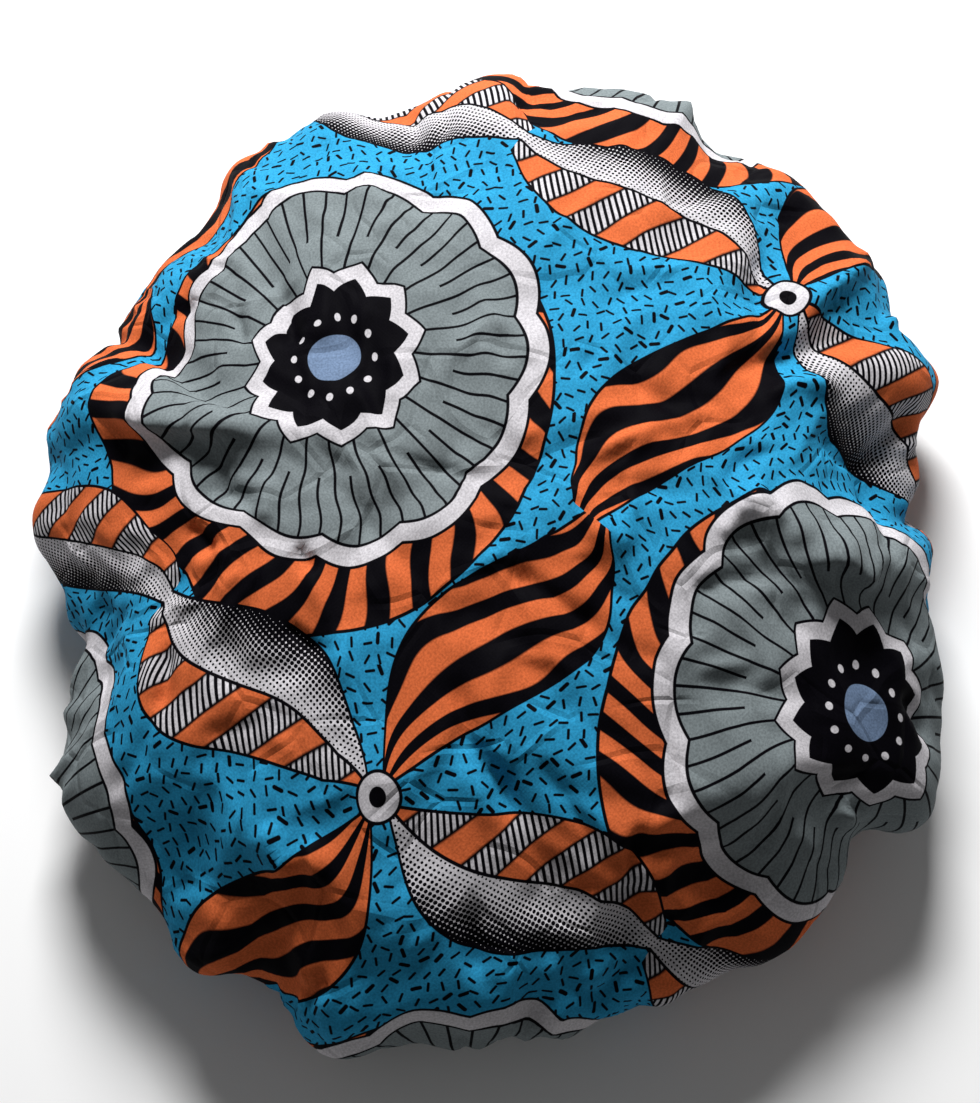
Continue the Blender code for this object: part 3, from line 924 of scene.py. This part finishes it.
def casing_recipe():
    """A tube of cloth with rounded edges, carried round a circle and unevenly ruched, shallow
    underneath."""
    rounding, drift_rate, drift_turn, patch_rate = 2.6 * MM, 55.0, 5.0, 90.0
    tree, given = new_recipe("ruched casing", CASING_INPUTS)
    links = {"Resolution": 1320, "Radius": given["Radius"]}
    ring = add(tree, "GeometryNodeCurvePrimitiveCircle", links)
    links = {"Width": given["Width"], "Height": given["Height"]}
    outline = add(tree, "GeometryNodeCurvePrimitiveQuadrilateral", links)
    links = {"Curve": outline, "Radius": rounding, "Limit Radius": True, "Count": 4}
    rounded = add(tree, "GeometryNodeFilletCurve", links, mode="POLY")
    tube = add(tree, "GeometryNodeCurveToMesh", {"Curve": ring, "Profile Curve": rounded})
    place = add(tree, "GeometryNodeInputPosition")
    drift = add(tree, NOISE, {"Vector": place, "Scale": drift_rate, "Detail": 1.0})
    rays = add(tree, MATH, {0: turn_of(tree, place), 1: given["Ruches"]}, operation="MULTIPLY")
    bent = add(tree, MATH, {0: drift, 1: drift_turn, 2: rays}, operation="MULTIPLY_ADD")
    wave = add(tree, MATH, {0: bent}, operation="SINE")
    normal = add(tree, "GeometryNodeInputNormal")
    facing = add(tree, SEPARATE, {0: normal}).node.outputs[2]
    free = add(tree, RANGE, {"Value": facing, "From Min": -0.8, "From Max": 0.0})
    dented = add(tree, MATH, {0: wave, 1: 0.5, 2: -0.5}, operation="MULTIPLY_ADD")
    level = add(tree, MIX, {"Factor": free, "A": dented, "B": wave})
    patchy = add(tree, NOISE, {"Vector": place, "Scale": patch_rate, "Detail": 0.0})
    links = {"Value": patchy, "From Min": 0.35, "From Max": 0.65, "To Min": 0.35, "To Max": 1.0}
    strength = add(tree, RANGE, links)
    strong = add(tree, MATH, {0: strength, 1: given["Depth"]}, operation="MULTIPLY")
    depth = add(tree, MATH, {0: level, 1: strong}, operation="MULTIPLY")
    offset = add(tree, VECTOR, {0: normal, "Scale": depth}, operation="SCALE")
    ruched = add(tree, "GeometryNodeSetPosition", {"Geometry": tube, "Offset": offset})
    centred = add(tree, MATH, {0: given["Height"], 1: 0.5}, operation="MULTIPLY")
    lift = add(tree, COMBINE, {2: centred})
    lifted = add(tree, "GeometryNodeSetPosition", {"Geometry": ruched, "Offset": lift})
    smooth = add(tree, "GeometryNodeSetShadeSmooth", {"Geometry": lifted})
    return ended(tree, smooth, given["Material"])


def stitch_recipe():
    """A row of short sunk stitches round a circle."""
    tree, given = new_recipe("casing stitches", STITCH_INPUTS)
    links = {"Resolution": 360, "Radius": given["Radius"]}
    ring = add(tree, "GeometryNodeCurvePrimitiveCircle", links)
    links = {"Curve": ring, "Length": given["Stitch"]}
    points = add(tree, "GeometryNodeCurveToPoints", links, mode="LENGTH").node.outputs
    grain = add(tree, "GeometryNodeMeshUVSphere", {"Segments": 6, "Rings": 5, "Radius": 0.5})
    length = add(tree, MATH, {0: given["Stitch"], 1: 0.82}, operation="MULTIPLY")
    size = add(tree, COMBINE, {0: given["Thread"], 1: given["Thread"], 2: length})
    links = {name: points[name] for name in ("Points", "Rotation")}
    row = add(tree, "GeometryNodeInstanceOnPoints", {**links, "Instance": grain, "Scale": size})
    lift = add(tree, COMBINE, {2: given["Level"]})
    placed = add(tree, "GeometryNodeSetPosition", {"Geometry": row, "Offset": lift})
    return ended(tree, placed, given["Material"])


# The stage


def matt_card():
    """White card: matt, with a hardly visible mottle."""
    material, tree = new_material("matt white card", linear_colour("f2f2f2"))
    place = add(tree, "ShaderNodeTexCoord").node.outputs["Object"]
    mottle = add(tree, NOISE, {"Vector": place, "Scale": 3.0, "Detail": 2.0})
    tint = {"Factor": mottle, "A": linear_colour("efefef"), "B": linear_colour("f4f4f4")}
    colour = add(tree, MIX, tint, data_type="RGBA")
    return surfaced(material, {"Base Color": colour, "Roughness": 0.9})


def round_floor():
    """A round floor, just under the bonnet."""
    level, reach, sides = -0.3 * MM, 1.25, 180
    turns = [TURN * side / sides for side in range(sides)]
    rim = [(reach * math.cos(turn), reach * math.sin(turn), level) for turn in turns]
    floor = mesh_object("floor", rim, [tuple(range(sides))])
    floor.data.materials.append(matt_card())
    return floor


def backdrop():
    """An even white all round that looks paler than the light that it gives."""
    given, paler, white = 0.13, 0.6, (1.0, 1.0, 1.0, 1.0)
    world = bpy.data.worlds.new("studio")
    world.use_nodes = True
    tree = world.node_tree
    tree.nodes.clear()
    seen = add(tree, "ShaderNodeLightPath")
    strength = add(tree, MATH, {0: seen, 1: paler, 2: given}, operation="MULTIPLY_ADD")
    sky = add(tree, "ShaderNodeBackground", {"Color": white, "Strength": strength})
    add(tree, "ShaderNodeOutputWorld", {"Surface": sky})
    return world


def turned_to(thing, way):
    """Turns a lamp or a camera to look this way."""
    thing.rotation_euler = way.to_track_quat("-Z", "Y").to_euler()


def window_lamp():
    """A broad soft lamp at the far side."""
    lamp = bpy.data.lights.new("window", "AREA")
    lamp.shape = "RECTANGLE"
    lamp.size = 0.6
    lamp.size_y = 0.4
    lamp.energy = 46.0
    light = new_object("window", lamp)
    light.location = (-0.08, 1.2, 1.0)
    turned_to(light, Vector((0.0, 0.0, 0.05)) - light.location)


def photograph_camera():
    """The camera, where the photograph was taken from."""
    distance, metres_in_pixel, above = 0.9, 0.000396, math.radians(75.0)
    target = Vector((-0.00055, -0.00357, 0.03))
    back = Vector((0.0, -math.cos(above), math.sin(above)))
    lens = bpy.data.cameras.new("camera")
    lens.lens = lens.sensor_width * distance / metres_in_pixel / PICTURE_HEIGHT
    camera = new_object("camera", lens)
    camera.location = target + back * distance
    turned_to(camera, -back)
    return camera


# The operators


class BONNET_OT_crown(bpy.types.Operator):
    """Make the crown: a round of printed cotton, settled as cloth over the frame's shape"""

    bl_idname = "bonnet.crown"
    bl_label = "Printed crown"

    def execute(self, context):
        scene = context.scene
        crown, length = draped_crown(scene.bonnet_sizes)
        crown.data.materials.append(printed_cotton(scene.bonnet_colours, scene.bonnet_sizes))
        wall = crown.modifiers.new("cloth wall", "SOLIDIFY")
        wall.thickness = scene.bonnet_sizes.cloth
        wall.offset = -1.0
        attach(crown, BODY)
        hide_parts(*CLOTH_NODES)
        return {"FINISHED"}


class BONNET_OT_casing(bpy.types.Operator):
    """Make the elastic's ruched casing and its row of stitches"""

    bl_idname = "bonnet.casing"
    bl_label = "Elastic casing"

    def execute(self, context):
        scene = context.scene
        sizes = scene.bonnet_sizes
        width = HEM_HIGH.z * 1.15
        values = {
            "Radius": HEM_OUTER - width / 2 - 0.3 * sizes.ruche,
            "Width": width,
            "Height": HEM_HIGH.z - 1.0 * MM,
            "Ruches": float(sizes.ruches),
            "Depth": sizes.ruche,
            "Material": casing_cotton(scene.bonnet_colours),
        }
        casing = finished("elastic_casing", casing_recipe(), values)
        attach(casing, BODY)
        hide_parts("elastic_hem")
        values = {
            "Radius": HEM_OUTER - 3.0 * MM,
            "Level": 0.1 * MM,
            "Stitch": sizes.stitch,
            "Thread": sizes.thread,
            "Material": spun_thread(scene.bonnet_colours),
        }
        stitches = finished("casing_stitches", stitch_recipe(), values)
        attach(stitches, BODY)
        return {"FINISHED"}


class BONNET_OT_stage(bpy.types.Operator):
    """Make the pale floor, the soft light from the far side and the camera"""

    bl_idname = "bonnet.stage"
    bl_label = "Stage"

    def execute(self, context):
        scene = context.scene
        floor = round_floor()
        scene.world = backdrop()
        window_lamp()
        scene.camera = photograph_camera()
        scene.view_settings.view_transform = "Standard"
        return {"FINISHED"}


class BONNET_PT_pieces(bpy.types.Panel):
    """Lists the bonnet's sizes, colours and pieces"""

    bl_idname = "BONNET_PT_pieces"
    bl_label = "Hair bonnet"
    bl_space_type = "VIEW_3D"
    bl_region_type = "UI"
    bl_category = "Bonnet"

    def draw(self, context):
        for group in (context.scene.bonnet_sizes, context.scene.bonnet_colours):
            box = self.layout.box()
            for name in group.__annotations__:
                box.prop(group, name)
        for operator in OPERATORS:
            self.layout.operator(operator.bl_idname)


OPERATORS = (BONNET_OT_stage, BONNET_OT_casing, BONNET_OT_crown)
CLASSES = (BonnetColours, BonnetSizes, *OPERATORS, BONNET_PT_pieces)


def register():
    for kind in CLASSES:
        bpy.utils.register_class(kind)
    bpy.types.Scene.bonnet_colours = bpy.props.PointerProperty(type=BonnetColours)
    bpy.types.Scene.bonnet_sizes = bpy.props.PointerProperty(type=BonnetSizes)


def unregister():
    del bpy.types.Scene.bonnet_sizes
    del bpy.types.Scene.bonnet_colours
    for kind in reversed(CLASSES):
        bpy.utils.unregister_class(kind)


def main():
    register()
    bpy.ops.bonnet.stage()
    bpy.ops.bonnet.casing()
    bpy.ops.bonnet.crown()


if __name__ == "__main__":
    main()
